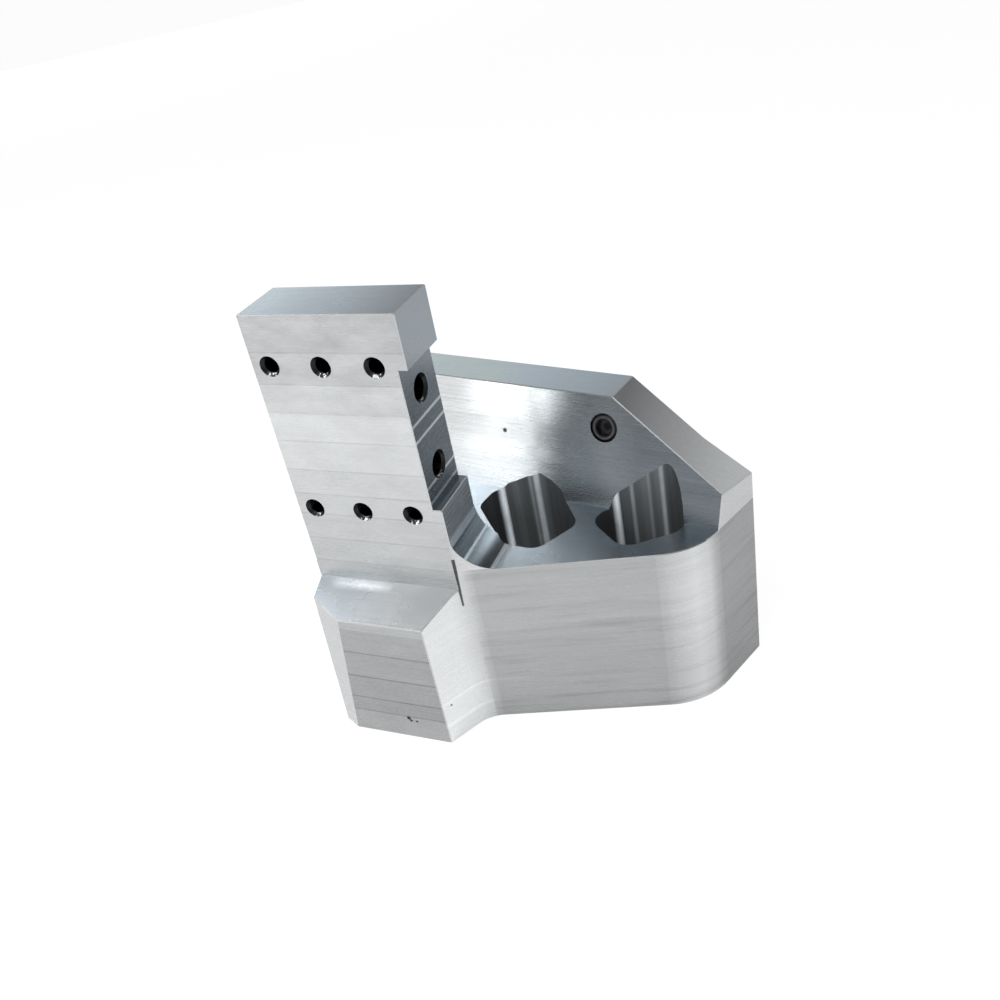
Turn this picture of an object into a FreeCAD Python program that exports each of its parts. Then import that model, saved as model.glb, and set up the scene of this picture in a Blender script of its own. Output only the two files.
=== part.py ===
"""Machined aluminium mounting bracket: an upright post, a body with two pockets and a back wall.

The origin is at the foot of the post's front mounting face, midway across its width.
X runs to the right along that face, Y runs back into the part and Z runs up from the base.
Lengths are in millimetres and angles in degrees.
"""
import FreeCAD, Part
import math
import os
from FreeCAD import Vector

# Post: the tall block that carries the mounting faces
post_width = 75.0
post_depth = 29.5
post_height = 218.0
head_height = 25.0
recess_depth = 4.5
recess_height = 67.5

# Body: the low block around the post's foot, with the ledge on top
ledge_height = 91.0
nose_reach = 20.0
nose_side_inset = 13.4
nose_side_angle = 59.7
front_start = 1.2
front_angle = 16.2
front_length = 107.7
end_angle = 69.3
inner_corner_radius = 18.0
outer_corner_radius = 36.0
ledge_fillet_radius = 18.5

# Sloped shoulder from the post's front face out to the nose, and the cut on the nose's left corner
shoulder_height = 82.0
shoulder_drop = 10.0
corner_cut_foot = 8.5
corner_cut_top = 18.5
corner_cut_ratio = 0.52

# Back wall, which leans back from the ledge and slopes down at its right end
wall_height = 144.0
wall_angle = 11.2
wall_foot = 77.3
wall_thickness = 21.6
wall_lean = 15.0
body_back = 29.3
end_slope_start = 94.8
end_slope_angle = 33.3

# Pockets right through the body: the centres of their rounded corners
pocket_a_radius = 8.0
pocket_a_centres = [(36.1, 63.0), (34.9, 56.1), (54.2, 32.7), (63.6, 31.8), (71.5, 45.2), (62.5, 58.6), (53.8, 61.6)]
pocket_b_radius = 9.5
pocket_b_centres = [(97.6, 51.0), (107.3, 41.8), (120.3, 51.0)]

# Tapped holes in the post's front face, two rows of three
front_tap_drill = 6.8
front_mouth = 9.8
front_hole_depth = 20.0
front_hole_inset = 9.0
front_hole_pitch = 25.5
front_row_drop = 23.5
front_row_spacing = 72.5
front_columns = 3

# Tapped holes in the recessed side face, one above the other
side_tap_drill = 10.2
side_mouth = 13.0
side_hole_depth = 26.0
side_hole_drop = 40.0
side_hole_spacing = 37.5

# Socket screw sunk flush in the back wall
screw_along_wall = 90.6
screw_above_ledge = 38.2
screw_head_diameter = 13.0
screw_head_height = 8.0
screw_shank_diameter = 8.0
screw_length = 12.0
screw_socket_width = 7.0
screw_socket_depth = 4.0
screw_edge_break = 0.8
counterbore_gap = 0.5

# Small bevels that take the sharpness off the outer edges
edge_break = 0.4
sharp_angle = 30.0
shortest_broken_edge = 1.0

drill_point_angle = 118.0
overcut = 5.0
probe = 0.05

post_right = post_width / 2
post_left = -post_right
recess_top = post_height - head_height
wall_set_back = math.tan(math.radians(wall_lean))


def heading(angle):
    """Unit vector in plan, turned from the X axis."""
    return Vector(math.cos(math.radians(angle)), math.sin(math.radians(angle)), 0)


def crossing(start, direction, other_start, other_direction):
    """Point in plan where two lines meet."""
    gap = other_start - start
    cross = direction.x * other_direction.y - direction.y * other_direction.x
    along = (gap.x * other_direction.y - gap.y * other_direction.x) / cross
    return start + direction * along


wall_run = heading(-wall_angle)
wall_out = heading(-wall_angle - 90)


def wall_point(along, out, height):
    """Point given along the wall's foot line, out from it and above the base."""
    return Vector(0, wall_foot, height) + wall_run * along + wall_out * out


def prism(points, sweep):
    """Straight-sided solid swept from a closed outline of points."""
    return Part.Face(Part.makePolygon(points + points[:1])).extrude(sweep)


def is_sharp(solid, edge):
    """Whether an edge stands out between two faces that meet at more than the sharp angle."""
    faces = solid.ancestorsOfType(edge, Part.Face)
    if len(faces) != 2 or edge.Length < shortest_broken_edge:
        return False
    middle = edge.valueAt((edge.FirstParameter + edge.LastParameter) / 2)
    first, last = [face.normalAt(*face.Surface.parameter(middle)) for face in faces]
    hollow = solid.isInside(middle + (first - last) * probe, probe / 100, False)
    return not hollow and math.degrees(first.getAngle(last)) > sharp_angle


def break_edges(solid, covered_by=None):
    """The same solid with its sharp outer edges broken, apart from those inside another block."""
    edges = [edge for edge in solid.Edges if is_sharp(solid, edge)]
    if covered_by:
        middles = [edge.valueAt((edge.FirstParameter + edge.LastParameter) / 2) for edge in edges]
        edges = [edge for edge, middle in zip(edges, middles) if not covered_by.isInside(middle, probe, True)]
    return solid.makeChamfer(edge_break, edges)


def rounded_corner(before, corner, after, radius):
    """Where an arc leaves the two sides of a corner, and the arc's middle."""
    first = (before - corner).normalize()
    last = (after - corner).normalize()
    half = first.getAngle(last) / 2
    inward = (first + last).normalize()
    centre = corner + inward * (radius / math.sin(half))
    setback = radius / math.tan(half)
    return corner + first * setback, centre - inward * radius, corner + last * setback


def body_outline():
    """Outline of the body in plan, with the hollow and the round corner of its front side."""
    nose_left = Vector(post_left, -nose_reach, 0)
    nose_right = Vector(post_right - nose_side_inset, -nose_reach, 0)
    side = heading(nose_side_angle)
    inner = nose_right + side * ((nose_reach + front_start) / side.y)
    outer = inner + heading(front_angle) * front_length
    back_foot = wall_point(0, -body_back - wall_height, 0)
    end_back = crossing(outer, heading(end_angle), back_foot, wall_run)
    back_left = crossing(nose_left, Vector(0, 1, 0), back_foot, wall_run)
    hollow = rounded_corner(nose_right, inner, outer, inner_corner_radius)
    swell = rounded_corner(inner, outer, end_back, outer_corner_radius)
    edges = [
        Part.makeLine(nose_left, nose_right),
        Part.makeLine(nose_right, hollow[0]),
        Part.Arc(*hollow).toShape(),
        Part.makeLine(hollow[2], swell[0]),
        Part.Arc(*swell).toShape(),
        Part.makeLine(swell[2], end_back),
        Part.makeLine(end_back, back_left),
        Part.makeLine(back_left, nose_left),
    ]
    return Part.Face(Part.Wire(edges))


def ledge_cut():
    """Space above the ledge, up to the leaning front of the back wall."""
    start = -2 * front_length
    reach = wall_foot + nose_reach + front_length
    rise = wall_height + overcut
    outline = [
        wall_point(start, 0, ledge_height),
        wall_point(start, reach, ledge_height),
        wall_point(start, reach, rise),
        wall_point(start, -(rise - ledge_height) * wall_set_back, rise),
    ]
    return prism(outline, wall_run * (4 * front_length))


def back_cut():
    """Space behind the body's upright back and the leaning back of the wall above it."""
    start = -2 * front_length
    reach = body_back + 2 * wall_height
    rise = wall_height + overcut
    meeting_height = ledge_height + (body_back - wall_thickness) / wall_set_back
    outline = [
        wall_point(start, -body_back, -overcut),
        wall_point(start, -body_back, meeting_height),
        wall_point(start, -wall_thickness - (rise - ledge_height) * wall_set_back, rise),
        wall_point(start, -reach, rise),
        wall_point(start, -reach, -overcut),
    ]
    return prism(outline, wall_run * (4 * front_length))


def end_slope_cut():
    """Space above the sloped right end of the back wall."""
    length = 2 * front_length
    drop = length * math.tan(math.radians(end_slope_angle))
    outline = [
        wall_point(end_slope_start, wall_thickness, wall_height),
        wall_point(end_slope_start + length, wall_thickness, wall_height - drop),
        wall_point(end_slope_start + length, wall_thickness, wall_height + overcut),
        wall_point(end_slope_start, wall_thickness, wall_height + overcut),
    ]
    return prism(outline, wall_out * (-2 * wall_thickness - wall_height))


def shoulder_cut():
    """Space above the shoulder that slopes from the post's front face out to the nose."""
    slope = shoulder_drop / nose_reach
    reach = nose_reach + overcut
    outline = [
        Vector(post_left - overcut, 0, shoulder_height),
        Vector(post_left - overcut, -reach, shoulder_height - slope * reach),
        Vector(post_left - overcut, -reach, wall_height + overcut),
        Vector(post_left - overcut, 0, wall_height + overcut),
    ]
    return prism(outline, Vector(post_width + 2 * overcut, 0, 0))


def corner_triangle(width, height):
    corner = Vector(post_left, -nose_reach, height)
    points = [corner, corner + Vector(width, 0, 0), corner + Vector(0, width * corner_cut_ratio, 0)]
    return Part.makePolygon(points + points[:1])


def corner_cut():
    """Long tapering cut off the nose's left corner, wider at the shoulder than at the base."""
    return Part.makeLoft([corner_triangle(corner_cut_foot, 0), corner_triangle(corner_cut_top, shoulder_height)],
                         True, True)


def pocket(centres, radius):
    """Upright opening right through the body, with rounded corners about the given centres."""
    points = [Vector(x, y, -overcut) for x, y in centres]
    core = Part.Face(Part.makePolygon(points + points[:1]))
    return core.makeOffset2D(radius).extrude(Vector(0, 0, wall_height + 2 * overcut))


def post():
    """Upright block with a shallow recess down its right side, below the head."""
    block = Part.makeBox(post_width, post_depth, post_height, Vector(post_left, 0, 0))
    recess = Part.makeBox(recess_depth + overcut, post_depth + 2 * overcut, recess_height,
                          Vector(post_right - recess_depth, -overcut, recess_top - recess_height))
    return block.cut(recess)


def ledge_fillet():
    """Hollow fillet from the ledge up to the post's right side."""
    radius = ledge_fillet_radius
    size = radius + edge_break
    corner = Vector(post_right, 0, ledge_height)
    block = Part.makeBox(size, post_depth - edge_break, size, corner + Vector(-edge_break, edge_break, -edge_break))
    round_tool = Part.makeCylinder(radius, post_depth + 2 * overcut, corner + Vector(radius, -overcut, radius),
                                   Vector(0, 1, 0))
    outline = body_outline().extrude(Vector(0, 0, post_height))
    return block.cut(round_tool).common(outline)


def tapped_hole(mouth, inward, drill, mouth_diameter, depth):
    """Drilled hole with a pointed end and a countersunk mouth."""
    sink = (mouth_diameter - drill) / 2
    point = drill / 2 / math.tan(math.radians(drill_point_angle / 2))
    bore = Part.makeCylinder(drill / 2, depth, mouth, inward)
    end = Part.makeCone(drill / 2, 0, point, mouth + inward * depth, inward)
    countersink = Part.makeCone(mouth_diameter / 2, drill / 2, sink, mouth, inward)
    return bore.fuse([end, countersink])


def front_holes():
    """Two rows of tapped holes in the post's front face."""
    holes = []
    for row in range(2):
        height = post_height - front_row_drop - row * front_row_spacing
        for column in range(front_columns):
            mouth = Vector(post_left + front_hole_inset + column * front_hole_pitch, 0, height)
            holes.append(tapped_hole(mouth, Vector(0, 1, 0), front_tap_drill, front_mouth, front_hole_depth))
    return holes


def side_holes():
    """Two tapped holes in the recessed side face, at mid depth of the post."""
    holes = []
    for row in range(2):
        height = post_height - side_hole_drop - row * side_hole_spacing
        mouth = Vector(post_right - recess_depth, post_depth / 2, height)
        holes.append(tapped_hole(mouth, Vector(-1, 0, 0), side_tap_drill, side_mouth, side_hole_depth))
    return holes


def screw_seat():
    """Centre of the screw's head on the leaning wall face, and the way into the wall."""
    centre = wall_point(screw_along_wall, -screw_above_ledge * wall_set_back, ledge_height + screw_above_ledge)
    lean = math.radians(wall_lean)
    return centre, (wall_out * math.cos(lean) + Vector(0, 0, math.sin(lean))) * -1


def screw_counterbore():
    centre, inward = screw_seat()
    head = Part.makeCylinder(screw_head_diameter / 2 + counterbore_gap, overcut + screw_head_height,
                             centre - inward * overcut, inward)
    shank = Part.makeCylinder(screw_shank_diameter / 2, screw_length, centre + inward * screw_head_height, inward)
    return head.fuse(shank)


def socket_screw():
    """Socket head cap screw, its head flush with the wall face and its hexagon socket open."""
    centre, inward = screw_seat()
    head = Part.makeCylinder(screw_head_diameter / 2, screw_head_height, centre, inward)
    rim = [edge for edge in head.Edges if edge.Closed and edge.CenterOfMass.distanceToPoint(centre) < probe]
    head = head.makeChamfer(screw_edge_break, rim)
    shank = Part.makeCylinder(screw_shank_diameter / 2, screw_length, centre + inward * screw_head_height, inward)
    across = inward.cross(Vector(0, 0, 1)).normalize()
    upright = inward.cross(across)
    corner_radius = screw_socket_width / 2 / math.cos(math.pi / 6)
    corners = []
    for side in range(6):
        turn = side * math.pi / 3
        corners.append(centre + across * (corner_radius * math.cos(turn)) + upright * (corner_radius * math.sin(turn)))
    socket = prism([corner - inward * overcut for corner in corners], inward * (screw_socket_depth + overcut))
    return head.fuse(shank).cut(socket)


def bracket():
    """The whole machined block."""
    body = body_outline().extrude(Vector(0, 0, wall_height))
    body = body.cut([ledge_cut(), back_cut(), end_slope_cut(), shoulder_cut(), corner_cut()])
    upright = post()
    body = break_edges(body, covered_by=upright)
    solid = body.fuse([break_edges(upright), ledge_fillet()]).removeSplitter()
    pockets = [pocket(pocket_a_centres, pocket_a_radius), pocket(pocket_b_centres, pocket_b_radius)]
    return solid.cut(pockets + front_holes() + side_holes() + [screw_counterbore()])


def main():
    os.makedirs("parts", exist_ok=True)
    pieces = {"bracket_body": bracket(), "socket_screw": socket_screw()}
    for name, shape in pieces.items():
        print(name, "valid", shape.isValid(), "solids", len(shape.Solids), "volume", round(shape.Volume))
        box = shape.BoundBox
        print("  box", [round(v, 1) for v in (box.XMin, box.XMax, box.YMin, box.YMax, box.ZMin, box.ZMax)])
        shape.exportStep("parts/" + name + ".step")


main()
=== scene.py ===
import math
import bpy
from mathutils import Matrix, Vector

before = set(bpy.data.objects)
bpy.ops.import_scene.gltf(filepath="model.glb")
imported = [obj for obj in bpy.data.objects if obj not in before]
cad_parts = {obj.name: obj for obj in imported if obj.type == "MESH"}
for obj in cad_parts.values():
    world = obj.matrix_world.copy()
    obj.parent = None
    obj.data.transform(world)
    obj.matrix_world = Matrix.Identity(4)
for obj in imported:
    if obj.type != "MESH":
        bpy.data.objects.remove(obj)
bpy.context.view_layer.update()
scene = bpy.context.scene
print("frame loaded:", sorted(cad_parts))


class Wire:
    # one socket of a material, used like a number in the sums below
    def __init__(self, tree, socket):
        self.tree = tree
        self.socket = socket

    def node(self, kind, settings=None, values=None, out=0):
        made = self.tree.nodes.new(kind)
        for key, value in (settings or {}).items():
            if key == "stops":
                fillRamp(made.color_ramp, value)
            else:
                setattr(made, key, value)
        for key, value in (values or {}).items():
            if isinstance(value, Wire):
                self.tree.links.new(value.socket, made.inputs[key])
            else:
                made.inputs[key].default_value = value
        return Wire(self.tree, made.outputs[out])

    def sum(self, operation, *terms):
        return self.node("ShaderNodeMath", {"operation": operation}, dict(enumerate(terms)))

    def __add__(self, other):
        return self.sum("ADD", self, other)

    def __radd__(self, other):
        return self.sum("ADD", other, self)

    def __sub__(self, other):
        return self.sum("SUBTRACT", self, other)

    def __rsub__(self, other):
        return self.sum("SUBTRACT", other, self)

    def __mul__(self, other):
        return self.sum("MULTIPLY", self, other)

    def __rmul__(self, other):
        return self.sum("MULTIPLY", other, self)

    def __pow__(self, other):
        return self.sum("POWER", self, other)

    def __gt__(self, other):
        return self.sum("GREATER_THAN", self, other)

    def __lt__(self, other):
        return self.sum("LESS_THAN", self, other)

    def __abs__(self):
        return self.sum("ABSOLUTE", self)


def fillRamp(ramp, stops):
    while len(ramp.elements) < len(stops):
        ramp.elements.new(0.5)
    for element, (place, colour) in zip(ramp.elements, stops):
        element.position = place
        element.color = (*colour, 1)


def newMaterial(name):
    material = bpy.data.materials.new(name)
    material.use_nodes = True
    material.node_tree.nodes.clear()
    return material, Wire(material.node_tree, None)


def finishMaterial(wire, shader):
    wire.tree.links.new(shader.socket, wire.tree.nodes.new("ShaderNodeOutputMaterial").inputs["Surface"])


def apart(wire, vector):
    parts = wire.node("ShaderNodeSeparateXYZ", None, {"Vector": vector})
    node = parts.socket.node
    return [Wire(wire.tree, node.outputs[i]) for i in range(3)]


def ramp(wire, value, low, high):
    # 0 below low, 1 above high
    return wire.node("ShaderNodeMapRange", {"clamp": True},
                     {"Value": value, "From Min": low, "From Max": high})


def near(wire, value, middle, width):
    # 1 at the middle, down to 0 half a width away
    return ramp(wire, abs(value - middle), width / 2, 0)


def streaks(wire, place, scale, detail=2.0, rough=0.6):
    # noise about 0, mostly between -1 and 1, stretched along its small scales
    stretched = wire.node("ShaderNodeVectorMath", {"operation": "MULTIPLY"}, {0: place, 1: scale})
    noise = wire.node("ShaderNodeTexNoise", {"noise_dimensions": "3D"},
                      {"Vector": stretched, "Scale": 1.0, "Detail": detail, "Roughness": rough})
    return (noise - 0.5) * 2.6


# tone of each face with its light and shade painted in: faces the light misses are painted darker, and the ledge,
# recess, bores and mouths hold painted shade
bracketLook = {
    "tint": (0.975, 0.992, 1.0),
    "bluishReflectionTint": (0.865, 0.985, 1.08),
    "plain": 0.70,
    # left end, right end, painted lighter or darker along the face as the light falls
    "top": (0.98, 0.38),
    "ledge": (0.52, 0.50),
    "wallTop": (1.0, 0.52),
    "endSlope": (0.36, 1.0),
    "ledgeSide": 0.42,
    "headSide": 0.43,
    "recess": 0.30,
    "recessFoot": 0.30,
    "shoulder": 0.72,
    "cornerCut": 0.62,
    "bore": 0.04,
    "mouth": 0.03,
    "glint": 0.45,
    "edge": 0.28,
    "softEdge": 0.60,
    "pocketMatt": 0.8,
    "roughness": 0.27,
    "bumpStrength": 0.30,
    "bumpDepth": 0.00006,
}

# how strongly each kind of mark changes the tone, painted shade and painted highlights among them
markLook = {
    "lines": 0.05,
    "wallLines": 0.10,
    "clouds": 0.03,
    # streaks down the pockets' walls, painted light and shade
    "down": 0.3,
    "feed": 0.045,
    # soft dark horizontal streaks on the body's front
    "softDarkStreaks": 0.30,
    # painted shade on the body's front, darker towards the floor
    "foot": 0.16,
    # painted reflection lines along the body's sides
    "sideReflectionLines": 0.14,
    "smudges": 0.12,
    "headSmudges": 0.18,
    "pits": 0.35,
    # least, and added where the face is worn
    "postSteps": (0.08, 0.16),
    "noseSteps": (0.26, 0.26),
    # painted highlight lines at the steps in the post's recess
    "recessStepHighlights": 5.0,
    "dots": 0.93,
    # painted shadow line at the foot of the post's right edge
    "sliverShadow": 0.85,
}

# noise of the milled faces: scale along x, y and z, detail, roughness
noiseLook = {
    "lines": ((14, 14, 900), 3.0, 0.6),
    "bands": ((4, 4, 150), 2.0, 0.6),
    "clouds": ((30, 30, 45), 3.0, 0.6),
    "smudges": ((40, 40, 85), 4.0, 0.65),
    "down": ((420, 420, 7), 2.0, 0.6),
    "grain": ((60, 60, 4200), 2.0, 0.7),
    "downGrain": ((1500, 1500, 20), 1.0, 0.6),
    "pits": ((700, 700, 700), 1.0, 0.5),
    "feed": ((9, 620, 620), 2.0, 0.6),
    "feedFlecks": ((260, 260, 260), 2.0, 0.6),
    "worn": ((70, 70, 20), 2.0, 0.6),
    "glints": ((900, 900, 900), 1.0, 0.6),
    "softDarkStreaks": ((14, 14, 230), 4.0, 0.6),
}

# tone of each milling pass up the post and the nose, the nose's passes painted darker as shade near the floor:
# height where it begins, tone
postPasses = ((0.082, 0.53), (0.092, 0.57), (0.105, 0.585), (0.119, 0.61), (0.130, 0.63),
              (0.143, 0.67), (0.158, 0.69), (0.172, 0.61), (0.186, 0.55), (0.201, 0.52))
nosePasses = ((0.0, 0.43), (0.014, 0.385), (0.0231, 0.395), (0.0373, 0.41), (0.0527, 0.42), (0.067, 0.50))
postTop = 0.218
noseTop = 0.073
# painted light and shade: tone of the upright sides by how far they turn to the right
bodyTurn = ((0.28, 0.49), (0.42, 0.62), (0.70, 0.80), (0.84, 0.72), (0.935, 0.44))
noseTurn = ((0.0, 0.60), (0.28, 0.49), (0.45, 0.62), (0.86, 0.87))
# painted light and shade on the fillet by how far it turns, with a painted highlight line at 0.775
filletTones = ((0.1, 0.16), (0.45, 0.10), (0.66, 0.28), (0.735, 0.50), (0.775, 1.0), (0.815, 0.52),
               (0.90, 0.62), (1.0, 0.72))
# painted reflection: tone of the leaning wall by x, a bright highlight at the left fading into shade to the right
wallTones = ((0.040, 0.98), (0.048, 0.88), (0.054, 0.66), (0.061, 0.76), (0.072, 0.66), (0.086, 0.44),
             (0.098, 0.29), (0.108, 0.22), (0.130, 0.22))
# heights of the steps that the cutter left in the post's recess, painted as bright highlight lines
recessLines = (0.1665, 0.159, 0.136, 0.1285)

wallAngle = math.radians(11.2)
wallLean = math.radians(15)
wallNormal = (-math.sin(wallAngle) * math.cos(wallLean), -math.cos(wallAngle) * math.cos(wallLean),
              math.sin(wallLean))
shoulderNormal = (0, -0.447, 0.894)

# where the faces of the post and the body lie
postRight = 0.038
postBack = 0.031
headFoot = 0.193
recessFoot = 0.125
ledgeHeight = 0.0915
noseFront = -0.019
noseRight = 0.06

pocketCentres = ((0.0525, 0.049), (0.1095, 0.048))
pocketReach = 0.034
# height of the larger pocket's upper rim where it runs up the leaning wall: x, z; below it the wall is painted with
# the pocket's shade
largeRim = ((0.0245, 0.0862), (0.0303, 0.0897), (0.0369, 0.0941), (0.0426, 0.0971), (0.0481, 0.0998),
            (0.0529, 0.1009), (0.0577, 0.1010), (0.0613, 0.1000), (0.064, 0.0979), (0.0682, 0.0917))
# brings the rim's heights up to the range of a tone
rimScale = 8
# painted shade: tone of the pockets' walls by x
pocketTones = ((0.027, 0.07), (0.031, 0.10), (0.034, 0.25), (0.045, 0.20), (0.055, 0.26), (0.060, 0.14),
               (0.075, 0.10), (0.089, 0.05), (0.094, 0.07), (0.098, 0.13), (0.110, 0.17), (0.119, 0.15),
               (0.122, 0.08), (0.129, 0.05))
# upright tool marks on the pockets' walls, painted as bright highlight streaks: x, y, half width, brightness
pocketMarkHighlights = ((0.0320, 0.0699, 0.0012, 26.0), (0.0488, 0.0700, 0.0007, 2.2), (0.0524, 0.0697, 0.0012, 6.0),
               (0.0400, 0.0707, 0.0016, 0.6), (0.0957, 0.0603, 0.0011, 24.0), (0.1040, 0.0605, 0.0007, 3.2),
               (0.1124, 0.0605, 0.0006, 1.0), (0.1188, 0.0605, 0.0008, 2.8))
# small dark pits: x, y, z, radius
pitMarks = ((0.0364, 0.0783, 0.1209, 0.0011), (0.0034, -0.02, 0.0130, 0.0010), (0.0044, -0.02, 0.0115, 0.0007),
            (0.0075, -0.02, 0.0114, 0.0006), (0.0267, -0.0156, 0.0221, 0.0005))

# tapped holes, their bores and mouths painted dark as shade: radius of the bore, inner and outer radius of its
# mouth, then where each begins
frontHoles = {"rows": (0.1945, 0.122), "columns": (-0.0285, -0.003, 0.0225), "bore": 0.0036,
              "mouth": (0.0035, 0.005), "boreFrom": 0.0008, "mouthFrom": 0.00003}
sideHoles = {"rows": (0.178, 0.1405), "middle": 0.01475, "bore": 0.0053, "mouth": (0.0052, 0.0066),
             "boreFrom": (0.005, 0.0322), "mouthFrom": (0.03, 0.03297)}
holesBack = 0.03
# painted shadow: dark line at the foot of the post's right edge
sliverShadow = {"x": 0.0370, "halfWidth": 0.0005, "core": 0.0002, "taper": 0.0004, "taperHeights": (0.073, 0.095),
          "heights": (0.0725, 0.099), "depths": (-0.0012, 0.002)}


def total(masks):
    result = masks[0]
    for mask in masks[1:]:
        result = result + mask
    return result


def between(value, low, high):
    return (value > low) * (value < high)


def distance(*offsets):
    return total([offset ** 2 for offset in offsets]) ** 0.5


def passes(wire, height, steps, top):
    # one grey for each pass, with hard steps between them
    bottom = steps[0][0]
    stops = [((start - bottom) / (top - bottom), (tone, tone, tone)) for start, tone in steps]
    ramped = wire.node("ShaderNodeValToRGB", {"stops": stops}, {"Fac": ramp(wire, height, bottom, top)})
    ramped.socket.node.color_ramp.interpolation = "CONSTANT"
    return ramped


def turned(wire, value, stops):
    # grey that follows a value smoothly from stop to stop
    first, last = stops[0][0], stops[-1][0]
    greys = [((at - first) / (last - first), (tone, tone, tone)) for at, tone in stops]
    return wire.node("ShaderNodeValToRGB", {"stops": greys}, {"Fac": ramp(wire, value, first, last)})


def paint(tone, mask, value):
    return tone + (value - tone) * mask


def slide(ends, share):
    return ends[0] + (ends[1] - ends[0]) * share


def holeMasks(x, y, z):
    bores = []
    mouths = []
    inner, outer = frontHoles["mouth"]
    for height in frontHoles["rows"]:
        for column in frontHoles["columns"]:
            radius = distance(x - column, z - height)
            bores.append((radius < frontHoles["bore"]) * (y > frontHoles["boreFrom"]))
            mouths.append(between(radius, inner, outer) * (y > frontHoles["mouthFrom"]))
    inner, outer = sideHoles["mouth"]
    for height in sideHoles["rows"]:
        radius = distance(y - sideHoles["middle"], z - height)
        bores.append((radius < sideHoles["bore"]) * between(x, *sideHoles["boreFrom"]))
        mouths.append(between(radius, inner, outer) * between(x, *sideHoles["mouthFrom"]))
    return total(bores) * (y < holesBack), total(mouths) * (y < holesBack)


def pocketMask(x, y, nx, ny):
    # 1 on faces that look towards a pocket's middle
    walls = []
    for middleX, middleY in pocketCentres:
        inwards = (middleX - x) * nx + (middleY - y) * ny
        walls.append((inwards > 0.001) * (distance(middleX - x, middleY - y) < pocketReach))
    return total(walls) * (y > 0.02)


# tool marks on the pockets' walls, painted as bright highlight streaks
def pocketToolMarkHighlights(wire, x, y, down, clouds):
    cuts = []
    for markX, markY, width, bright in pocketMarkHighlights:
        cuts.append(ramp(wire, distance(x - markX, y - markY), width * 2, width * 0.4) * bright)
    return total(cuts) * (1 + down * 0.3) * (0.65 + clouds * 0.4)


def pitDots(wire, x, y, z):
    dots = []
    for pitX, pitY, pitZ, radius in pitMarks:
        dots.append(ramp(wire, distance(x - pitX, y - pitY, z - pitZ), radius * 1.3, radius * 0.8))
    return total(dots)


# painted shadow line at the foot of the post's right edge
def sliverShadowMask(wire, x, y, z):
    taper = ramp(wire, z, *sliverShadow["taperHeights"]) * sliverShadow["taper"]
    line = ramp(wire, abs(x - sliverShadow["x"]) - taper, sliverShadow["halfWidth"], sliverShadow["core"])
    return line * between(z, *sliverShadow["heights"]) * between(y, *sliverShadow["depths"])


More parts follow.
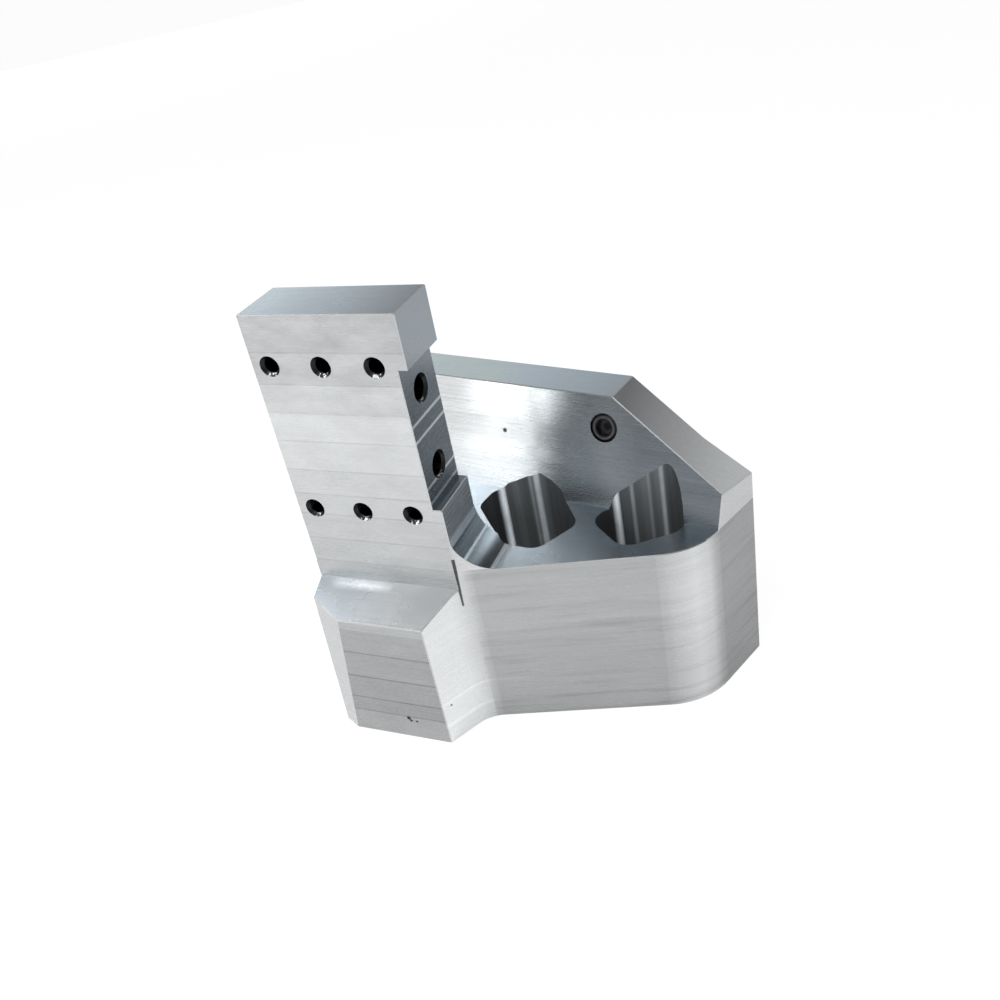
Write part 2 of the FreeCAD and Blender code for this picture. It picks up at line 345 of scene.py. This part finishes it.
def milledAluminium(look, mark):
    material, wire = newMaterial("milledAluminium")
    place = wire.node("ShaderNodeTexCoord", None, None, out="Object")
    facing = wire.node("ShaderNodeNewGeometry", None, None, out="Normal")
    x, y, z = apart(wire, place)
    nx, ny, nz = apart(wire, facing)
    noise = {name: streaks(wire, place, *numbers) for name, numbers in noiseLook.items()}
    lines, bands, clouds, smudges = [noise[name] for name in ("lines", "bands", "clouds", "smudges")]

    def facingAlong(direction, least):
        along = wire.node("ShaderNodeVectorMath", {"operation": "DOT_PRODUCT"},
                          {0: facing, 1: direction}, out="Value")
        return along > least

    # masks of the faces
    up = nz > 0.99
    upright = abs(nz) < 0.6
    postSide = (nx > 0.95) * (x < postRight) * (y < postBack)
    wall = facingAlong(wallNormal, 0.995)
    rim = turned(wire, x, [(at, level * rimScale) for at, level in largeRim])
    # the wall below the larger pocket's rim, painted with the pocket's shade and a little darker still
    pocketShadeOnWall = wall * between(x, largeRim[0][0], largeRim[-1][0]) * (z * rimScale < rim)
    pocket = pocketMask(x, y, nx, ny) * (abs(nz) < 0.1) * (1 - postSide) + pocketShadeOnWall
    wallFront = wall * (1 - pocketShadeOnWall)
    bore, mouth = holeMasks(x, y, z)
    front = (ny < -0.95) * between(y, -0.0005, 0.0005) * (x < postRight)
    nose = (ny < -0.95) * (y < noseFront)
    shoulder = facingAlong(shoulderNormal, 0.99)
    bodySides = (abs(nz) < 0.05) * (nx > 0.1) * (z < ledgeHeight) * (1 - pocket) * (1 - postSide)
    bodyFront = bodySides * (x > 0.04)
    cornerCut = (nx < -0.3) * (ny < -0.3) * (y < -0.001)
    fillet = (abs(ny) < 0.05) * between(nz, 0.02, 0.97) * (nx > 0.1) * between(x, 0.03, 0.057) * (z < 0.115)
    edge = (ny < -0.4) * between(nz, 0.5, 0.85)
    glint = mouth * between(nz, 0.62, 0.8) * (noise["glints"] > 0.1)
    gleamLine = fillet * near(wire, nx, 0.775, 0.075)
    # painted highlight along the shoulder's top edge
    shoulderHighlight = shoulder * near(wire, y, -0.0028, 0.0056) * near(wire, x, -0.014, 0.034) ** 0.5
    flat = upright * (1 - pocket)

    # tone of each face with its light and shade painted in, the later over the earlier
    across = ramp(wire, x, -0.0375, 0.0375)
    along = ramp(wire, x, 0.03, 0.13)
    wallPlace = x + bands * 0.006 + lines * 0.003
    tone = (up * 0) + look["plain"]
    for mask, value in (
            (up * (z > 0.2), slide(look["top"], across)),
            (up * (z < 0.1), slide(look["ledge"], along)),
            (up * between(z, 0.14, 0.15), slide(look["wallTop"], along)),
            (between(nz, 0.7, 0.95) * (x > 0.08), slide(look["endSlope"], ramp(wire, x, 0.10, 0.15))),
            (postSide * (z > headFoot), look["headSide"]),
            (postSide * between(z, recessFoot, headFoot + 0.0005), look["recess"]),
            (postSide * (z < recessFoot), look["ledgeSide"]),
            (wallFront, turned(wire, wallPlace, wallTones)),
            (up * between(z, 0.12, 0.13), look["recessFoot"]),
            (fillet, turned(wire, nx, filletTones)),
            (bodySides, turned(wire, nx, bodyTurn)),
            (bodySides * (x < noseRight), turned(wire, nx, noseTurn)),
            (cornerCut, look["cornerCut"]),
            (shoulder, look["shoulder"] + shoulderHighlight * (0.45 + smudges * 0.5)),
            (front, passes(wire, z, postPasses, postTop)),
            (nose, passes(wire, z, nosePasses, noseTop)),
            (pocket, turned(wire, x, pocketTones) * (1 - pocketShadeOnWall * 0.25)),
            # chamfers painted darker as shade, less so by the shoulder
            (edge, look["edge"]),
            (edge * (z < 0.09) * (x < 0.05), look["softEdge"]),
            # holes painted dark as shade, with painted glints on their mouths
            (mouth, look["mouth"]),
            (glint, look["glint"]),
            (bore, look["bore"])):
        tone = paint(tone, mask, value)

    # marks of the cutter, stains and wear, with painted shade and painted highlights among them
    postSteps = total([near(wire, z, step[0], 0.0010) for step in postPasses[1:]])
    noseSteps = total([near(wire, z, step[0], 0.0011) for step in nosePasses[1:-1]])
    # painted highlight lines at the steps in the post's recess
    recessStepHighlights = total([near(wire, z, height, 0.0017) for height in recessLines])
    # painted reflection lines along the body's sides, stronger to the left
    sideReflectionLines = near(wire, z, 0.0245, 0.0022) + near(wire, z, 0.011, 0.003)
    worn = ramp(wire, noise["worn"], -0.6, 0.6)
    pits = ramp(wire, noise["pits"], 0.78, 0.9)
    softDarkStreaks = ramp(wire, noise["softDarkStreaks"], 0.0, 1.0)
    feed = noise["feed"] + noise["feedFlecks"] * 0.6
    headBand = ramp(wire, z, 0.165, 0.205)
    # painted shade on the body's front, darker towards the floor
    foot = ramp(wire, z, 0.06, 0.0)
    toolMarkHighlights = pocketToolMarkHighlights(wire, x, y, noise["down"], clouds)
    vary = (lines + bands) * mark["lines"] * flat * (1 - postSide * 0.7) + clouds * mark["clouds"]
    # streaks and tool marks down the pockets' walls, painted as highlights and shade
    vary = vary + (noise["down"] * mark["down"] + toolMarkHighlights) * pocket + feed * mark["feed"] * (1 - upright)
    vary = vary - softDarkStreaks * bodyFront * mark["softDarkStreaks"] - foot * bodyFront * mark["foot"]
    vary = vary + sideReflectionLines * bodySides * ramp(wire, x, 0.075, 0.04) * mark["sideReflectionLines"]
    vary = vary + smudges * (mark["smudges"] + headBand * mark["headSmudges"]) * (front + nose)
    vary = vary - pits * nose * mark["pits"]
    vary = vary - postSteps * front * (mark["postSteps"][0] + worn * mark["postSteps"][1])
    vary = vary - noseSteps * nose * (mark["noseSteps"][0] + worn * mark["noseSteps"][1])
    vary = vary + recessStepHighlights * postSide * (z > 0.127) * mark["recessStepHighlights"]
    vary = vary + (lines + bands) * mark["wallLines"] * wallFront
    shade = tone * (1 + vary) * (1 - pitDots(wire, x, y, z) * mark["dots"])
    shade = shade * (1 - sliverShadowMask(wire, x, y, z) * mark["sliverShadow"])

    # painted reflection: a bluish tint on upward faces, the post's side, the pockets, the fillet, the shoulder's
    # left and the wall's right
    bluishReflection = up + postSide * 0.8 + pocket * 0.5 + fillet
    bluishReflection = bluishReflection + shoulder * (0.1 + 0.6 * ramp(wire, x, 0.01, -0.03))
    bluishReflection = bluishReflection + wallFront * ramp(wire, x, 0.05, 0.11) * 0.8
    tint = wire.node("ShaderNodeMix", {"data_type": "RGBA"},
                     {0: bluishReflection, 6: (*look["tint"], 1), 7: (*look["bluishReflectionTint"], 1)}, out=2)
    colour = wire.node("ShaderNodeVectorMath", {"operation": "SCALE"}, {0: tint, "Scale": shade})

    matt = postSide * (z < recessFoot) * 0.6 + gleamLine * 0.9 + shoulderHighlight * 0.5
    rough = look["roughness"] + lines * 0.05 * upright + clouds * 0.03 + pocket * 0.2 + edge * 0.2
    height = (noise["grain"] * 0.4 + lines * 0.5 + bands * 0.4) * flat * (1 - wallFront * 0.5)
    height = height + noise["downGrain"] * pocket + feed * 0.3 * (1 - upright)
    bump = wire.node("ShaderNodeBump", None, {"Strength": look["bumpStrength"], "Distance": look["bumpDepth"],
                                              "Height": height})
    shader = wire.node("ShaderNodeBsdfPrincipled", None,
                       {"Base Color": colour, "Metallic": 1 - pocket * look["pocketMatt"] - matt,
                        "Roughness": rough, "Normal": bump})
    finishMaterial(wire, shader)
    return material


screwLook = {
    "middle": (0.0909, 0.0697, 0.1292),
    # tone by distance from the middle in centimetres: the socket and the outer rim are painted dark as shade, the
    # lighter ring between them a painted highlight
    "rings": ((0.30, 0.010), (0.43, 0.020), (0.47, 0.11), (0.53, 0.14), (0.57, 0.05), (0.62, 0.02)),
    "tint": (1, 1, 1.04),
    "fleckScale": (900, 900, 900),
    "metallic": 0.8,
    "roughness": 0.42,
}


def blackSteel(look):
    material, wire = newMaterial("blackOxideSteel")
    place = wire.node("ShaderNodeTexCoord", None, None, out="Object")
    fleck = streaks(wire, place, look["fleckScale"], 3.0)
    centre = wire.node("ShaderNodeVectorMath", {"operation": "DISTANCE"}, {0: place, 1: look["middle"]}, out="Value")
    shade = turned(wire, centre * 100, look["rings"]) * (1 + fleck * 0.3)
    colour = wire.node("ShaderNodeVectorMath", {"operation": "SCALE"}, {0: look["tint"], "Scale": shade})
    bump = wire.node("ShaderNodeBump", None, {"Strength": 0.2, "Distance": 0.00004, "Height": fleck})
    shader = wire.node("ShaderNodeBsdfPrincipled", None,
                       {"Base Color": colour, "Metallic": look["metallic"],
                        "Roughness": look["roughness"] + fleck * 0.05, "Normal": bump})
    finishMaterial(wire, shader)
    return material


def dress(node, material):
    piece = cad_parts[node]
    piece.data.materials.clear()
    piece.data.materials.append(material)


dress("bracket_body", milledAluminium(bracketLook, markLook))
dress("socket_screw", blackSteel(screwLook))
print("materials done")


stageLook = {"floorSize": 9.0, "floorColour": (0.93, 0.93, 0.93), "worldLow": 0.62, "worldHigh": 0.32,
             "paleSeen": 0.85, "paleMirrored": 0.28, "paleStrength": 1.08}


def makeFloor():
    size = stageLook["floorSize"]
    bpy.ops.mesh.primitive_plane_add(size=2 * size, location=(0, 0, 0))
    floor = bpy.context.object
    floor.name = "floor"
    material, wire = newMaterial("paleFloor")
    camera = wire.node("ShaderNodeLightPath", None, None, out="Is Camera Ray")
    rays = camera.socket.node.outputs
    mirrored = Wire(wire.tree, rays["Is Glossy Ray"]) + Wire(wire.tree, rays["Is Transmission Ray"])
    matt = wire.node("ShaderNodeBsdfDiffuse", None, {"Color": (*stageLook["floorColour"], 1)})
    pale = wire.node("ShaderNodeEmission", None, {"Color": (1, 1, 1, 1), "Strength": stageLook["paleStrength"]})
    share = camera * stageLook["paleSeen"] + mirrored * stageLook["paleMirrored"]
    finishMaterial(wire, wire.node("ShaderNodeMixShader", None, {0: share, 1: matt, 2: pale}))
    floor.data.materials.append(material)


def makeWorld():
    world = bpy.data.worlds.new("studio")
    scene.world = world
    world.use_nodes = True
    world.node_tree.nodes.clear()
    wire = Wire(world.node_tree, None)
    direction = wire.node("ShaderNodeTexCoord", None, None, out="Generated")
    height = apart(wire, direction)[2]
    level = ramp(wire, height, 0.0, 0.8)
    strength = stageLook["worldLow"] + (stageLook["worldHigh"] - stageLook["worldLow"]) * level
    backdrop = wire.node("ShaderNodeBackground", None, {"Color": (0.97, 0.985, 1.0, 1), "Strength": strength})
    wire.tree.links.new(backdrop.socket, wire.tree.nodes.new("ShaderNodeOutputWorld").inputs["Surface"])


def softbox(name, place, aim, width, height, watts):
    light = bpy.data.lights.new(name, "AREA")
    light.shape = "RECTANGLE"
    light.size = width
    light.size_y = height
    light.energy = watts
    lamp = bpy.data.objects.new(name, light)
    scene.collection.objects.link(lamp)
    lamp.location = place
    lamp.visible_camera = False
    lamp.rotation_euler = (Vector(aim) - Vector(place)).to_track_quat("-Z", "Y").to_euler()


makeFloor()
makeWorld()
softbox("keyLeft", (-0.75, -0.55, 0.85), (0.03, 0.05, 0.1), 0.6, 0.6, 8)
softbox("overhead", (0.20, -0.62, 1.35), (0.05, 0.03, 0.1), 0.5, 0.5, 6.5)
softbox("backLeft", (-2.9, 2.8, 0.38), (0.0, 0.03, 0.1), 2.4, 0.6, 26)
print("stage done")

cameraLook = {
    "place": (0.23208, -0.31750, 0.35832),
    "turn": (57.365, 9.762, 21.326),
    "lens": 36.332,
}
camera = bpy.data.objects.new("camera", bpy.data.cameras.new("camera"))
scene.collection.objects.link(camera)
camera.location = cameraLook["place"]
camera.rotation_euler = [math.radians(angle) for angle in cameraLook["turn"]]
camera.data.lens = cameraLook["lens"]
camera.data.sensor_width = 36
camera.data.clip_start = 0.01
scene.camera = camera
scene.view_settings.view_transform = "Standard"

print("camera done")
